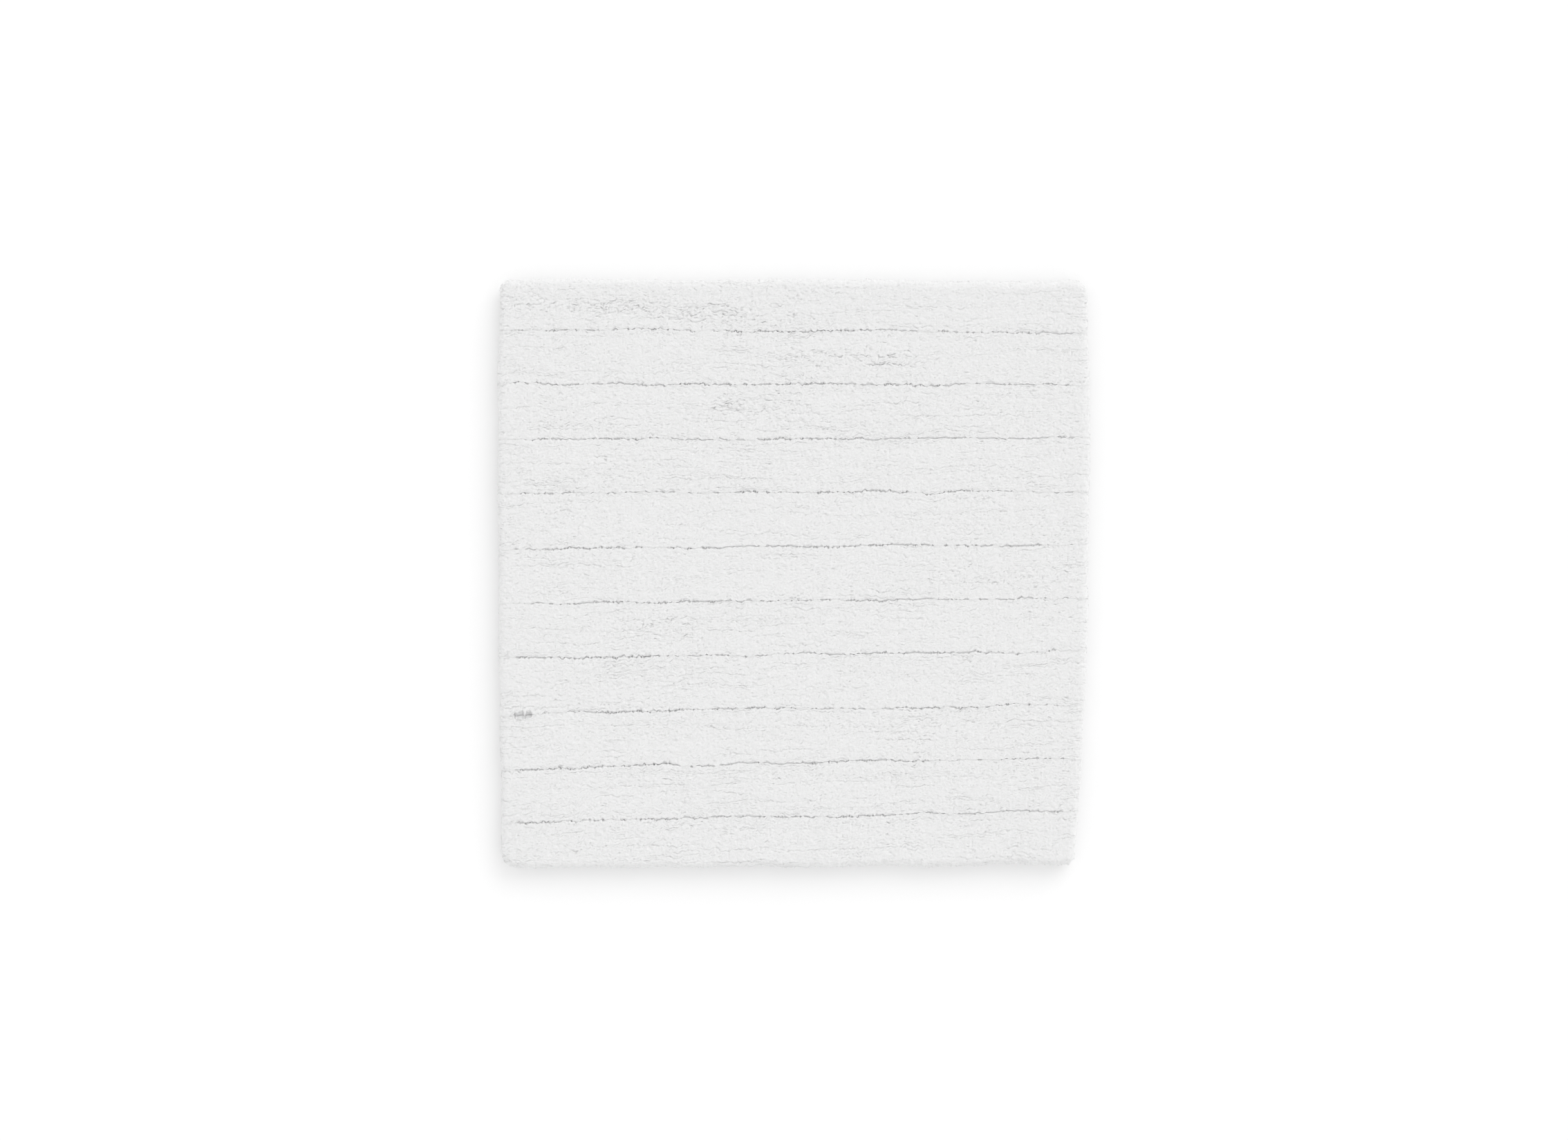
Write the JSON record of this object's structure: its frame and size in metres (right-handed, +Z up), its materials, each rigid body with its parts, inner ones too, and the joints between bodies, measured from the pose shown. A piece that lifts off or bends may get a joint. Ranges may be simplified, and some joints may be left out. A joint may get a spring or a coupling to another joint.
{
  "type": "bath mat",
  "caption": "Square white cotton bath mat: soft cut pile in raised bands parted by narrow straight grooves, on a woven ground cloth with a taped hem and an anti-slip latex back.",
  "frame": {"origin": "on the floor, below the middle of the mat's outline", "axes": "+X along the grooves, to the right when the mat is seen from above with its back edge away; +Y to the back edge; +Z up out of the pile"},
  "size_m": [0.6, 0.5982, 0.026],
  "materials": {
    "pile": "matt cut cotton pile, bleached white",
    "base_cloth": "plain-woven cotton ground cloth, unbleached white",
    "hem_tape": "matt herringbone cotton tape",
    "thread": "spun lockstitch thread, faint sheen",
    "label": "smooth cotton ribbon, blank",
    "latex": "sprayed latex, satin, off-white"
  },
  "bodies": {
    "root": {"base_cloth": "base_cloth", "pile_band_01": "pile", "pile_band_02": "pile", "pile_band_03": "pile", "pile_band_04": "pile", "pile_band_05": "pile", "pile_band_06": "pile", "pile_band_07": "pile", "pile_band_08": "pile", "pile_band_09": "pile", "pile_band_10": "pile", "pile_band_11": "pile", "hem_tape_front": "hem_tape", "hem_tape_back": "hem_tape", "hem_tape_left": "hem_tape", "hem_tape_right": "hem_tape", "hem_stitch_outer": "thread", "hem_stitch_inner": "thread", "care_label": "label", "latex_backing": "latex"}
  },
  "joints": []
}
